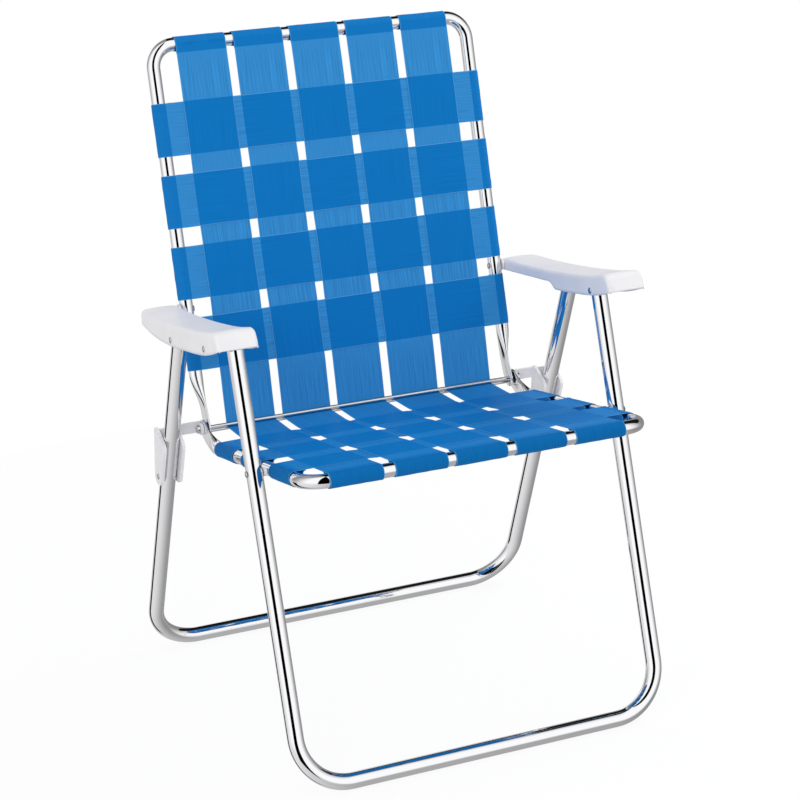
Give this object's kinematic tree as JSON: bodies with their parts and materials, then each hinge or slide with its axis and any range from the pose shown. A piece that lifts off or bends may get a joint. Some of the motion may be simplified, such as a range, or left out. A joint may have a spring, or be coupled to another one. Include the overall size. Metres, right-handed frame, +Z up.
{
  "type": "folding lawn chair",
  "caption": "Folding lawn chair: polished tube leg, seat and back hoops, wide woven blue webs, white moulded armrests and fold links at the riveted pivots.",
  "frame": {"origin": "on the ground, midway between the two sides and midway along the depth of the open chair", "axes": "+Z up, -Y the way the sitter faces, X across the chair"},
  "size_m": [0.6256, 0.5764, 0.9069],
  "materials": {
    "polished_aluminium": "polished drawn tube",
    "white_plastic": "moulded, semi-gloss",
    "blue_webbing": "woven polypropylene tape, slightly see-through",
    "plated_steel": "bright zinc plate",
    "dark_steel": "dull dark plate"
  },
  "bodies": {
    "rear_legs": {"rear_leg_hoop": "polished_aluminium"},
    "armrests": {"armrest_right": "white_plastic", "armrest_left": "white_plastic", "arm_front_rivet_right": "plated_steel", "arm_front_rivet_left": "plated_steel", "arm_rear_rivet_right": "plated_steel", "arm_rear_rivet_left": "plated_steel"},
    "back": {"back_frame": "polished_aluminium", "hinge_rod": "plated_steel", "back_lower_rod": "plated_steel", "back_web_1": "blue_webbing", "back_web_2": "blue_webbing", "back_web_3": "blue_webbing", "back_web_4": "blue_webbing", "back_web_5": "blue_webbing", "back_cross_web_1": "blue_webbing", "back_cross_web_2": "blue_webbing", "back_cross_web_3": "blue_webbing", "back_cross_web_4": "blue_webbing", "arm_back_bolt_right": "plated_steel", "arm_back_bolt_left": "plated_steel", "arm_back_nut_right": "plated_steel", "arm_back_nut_left": "plated_steel", "arm_spacer_right": "white_plastic", "arm_spacer_left": "white_plastic", "hinge_washer_right": "dark_steel", "hinge_washer_left": "dark_steel", "hinge_cap_right": "dark_steel", "hinge_cap_left": "dark_steel"},
    "front_legs": {"front_leg_hoop": "polished_aluminium", "seat_pivot_rivet_right": "plated_steel", "seat_pivot_rivet_left": "plated_steel", "seat_pivot_spacer_right": "white_plastic", "seat_pivot_spacer_left": "white_plastic"},
    "seat": {"seat_frame": "polished_aluminium", "seat_web_1": "blue_webbing", "seat_web_2": "blue_webbing", "seat_web_3": "blue_webbing", "seat_web_4": "blue_webbing", "seat_web_5": "blue_webbing", "seat_cross_web_1": "blue_webbing", "seat_cross_web_2": "blue_webbing", "seat_cross_web_3": "blue_webbing"},
    "links": {"fold_link_right": "white_plastic", "fold_link_left": "white_plastic", "link_outer_rivet_right": "plated_steel", "link_outer_rivet_left": "plated_steel", "link_inner_rivet_right": "plated_steel", "link_inner_rivet_left": "plated_steel"}
  },
  "joints": [
    {"name": "arm_fold", "type": "hinge", "parent": "rear_legs", "child": "armrests", "pos_m": [0, 0.04603, 0.54472], "axis": [-1, 0, 0], "range_deg": [0, 57]},
    {"name": "back_fold", "type": "hinge", "parent": "armrests", "child": "back", "pos_m": [0, 0.17931, 0.54221], "axis": [-1, 0, 0], "range_deg": [-95, 0]},
    {"name": "front_leg_fold", "type": "hinge", "parent": "armrests", "child": "front_legs", "pos_m": [0, -0.0885, 0.5705], "axis": [-1, 0, 0], "range_deg": [-95, 0]},
    {"name": "seat_fold", "type": "hinge", "parent": "back", "child": "seat", "pos_m": [0, 0.12533, 0.38227], "axis": [-1, 0, 0], "range_deg": [0, 95]},
    {"name": "link_fold", "type": "hinge", "parent": "back", "child": "links", "pos_m": [0, 0.12533, 0.38227], "axis": [-1, 0, 0], "range_deg": [0, 182.5]}
  ],
  "couplings": [
    {"joint": "arm_fold", "follows": "seat_fold", "ratio": 0.5983},
    {"joint": "back_fold", "follows": "seat_fold", "ratio": -1},
    {"joint": "front_leg_fold", "follows": "seat_fold", "ratio": -1},
    {"joint": "link_fold", "follows": "seat_fold", "ratio": 1.9183}
  ]
}
